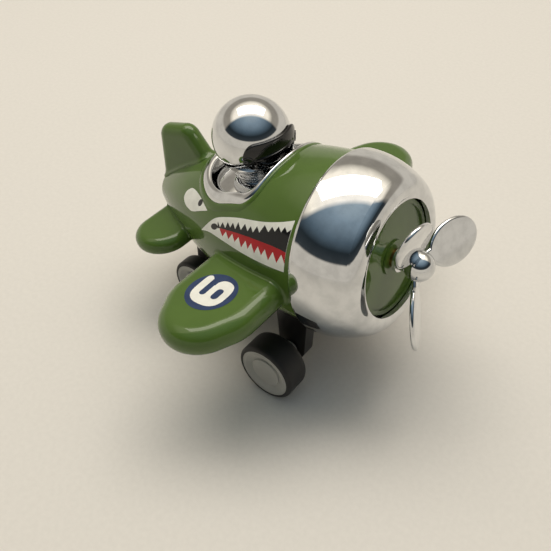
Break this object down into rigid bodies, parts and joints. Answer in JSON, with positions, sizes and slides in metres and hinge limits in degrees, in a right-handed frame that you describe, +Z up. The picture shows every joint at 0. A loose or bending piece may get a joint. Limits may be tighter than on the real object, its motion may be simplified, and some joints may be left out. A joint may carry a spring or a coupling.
{
  "type": "push-and-go toy airplane",
  "caption": "Palm-size toy airplane with a tubby fuselage, rounded wing, ring cowl, three-blade propeller, helmeted pilot and four wheels on a geared friction motor.",
  "frame": {"origin": "On the ground under the middle of the bounding box, in the plane of symmetry.", "axes": "+X forward to the propeller, +Y to the pilot's left along the wing, +Z up. The wheels stand on Z = 0."},
  "size_m": [0.0958, 0.1012, 0.0689],
  "materials": {
    "green": "gloss lacquer",
    "plated": "chrome plated",
    "black": "gloss",
    "rubber": "matt",
    "grey": "satin",
    "gear_plastic": "satin",
    "steel": "bright",
    "brass": "bright"
  },
  "bodies": {
    "airframe": {"fuselage_shell": "green", "wing": "green", "tailplane": "green", "cowl_ring": "plated", "nose_disc": "green", "prop_bush": "brass", "cockpit_tub": "plated", "pilot_bust": "plated", "pilot_helmet": "plated", "pilot_visor": "black", "visor_pivots": "black", "chassis_base": "black", "base_screws": "steel", "motor_frame": "steel"},
    "propeller_set": {"prop_shaft": "steel", "shaft_clip": "steel", "thrust_washer": "plated", "propeller": "plated", "spinner_cap": "plated"},
    "front_wheels": {"front_axle": "steel", "tyre_front_left": "rubber", "tyre_front_right": "rubber", "hub_front_left": "grey", "hub_front_right": "grey"},
    "rear_wheels": {"rear_axle": "steel", "axle_gear": "gear_plastic", "tyre_rear_left": "rubber", "tyre_rear_right": "rubber", "hub_rear_left": "grey", "hub_rear_right": "grey"},
    "idler_set": {"idler_shaft": "steel", "idler_gear": "gear_plastic"},
    "flywheel_set": {"flywheel_shaft": "steel", "flywheel_pinion": "gear_plastic", "flywheel": "steel"}
  },
  "joints": [
    {"name": "propeller_spin", "type": "hinge", "parent": "airframe", "child": "propeller_set", "pos_m": [0.0179, 0, 0.0391], "axis": [0.9848, 0, 0.1736], "continuous": true},
    {"name": "front_wheels_roll", "type": "hinge", "parent": "airframe", "child": "front_wheels", "pos_m": [0.0134, 0, 0.0088], "axis": [0, 1, 0], "continuous": true},
    {"name": "rear_wheels_roll", "type": "hinge", "parent": "airframe", "child": "rear_wheels", "pos_m": [-0.0253, 0, 0.008], "axis": [0, 1, 0], "continuous": true},
    {"name": "idler_spin", "type": "hinge", "parent": "airframe", "child": "idler_set", "pos_m": [-0.02039, 0, 0.01144], "axis": [0, 1, 0], "continuous": true},
    {"name": "flywheel_spin", "type": "hinge", "parent": "airframe", "child": "flywheel_set", "pos_m": [-0.01531, 0, 0.01381], "axis": [0, 1, 0], "continuous": true}
  ],
  "couplings": [
    {"joint": "idler_spin", "follows": "rear_wheels_roll", "ratio": -2.75},
    {"joint": "flywheel_spin", "follows": "rear_wheels_roll", "ratio": 6.875}
  ]
}
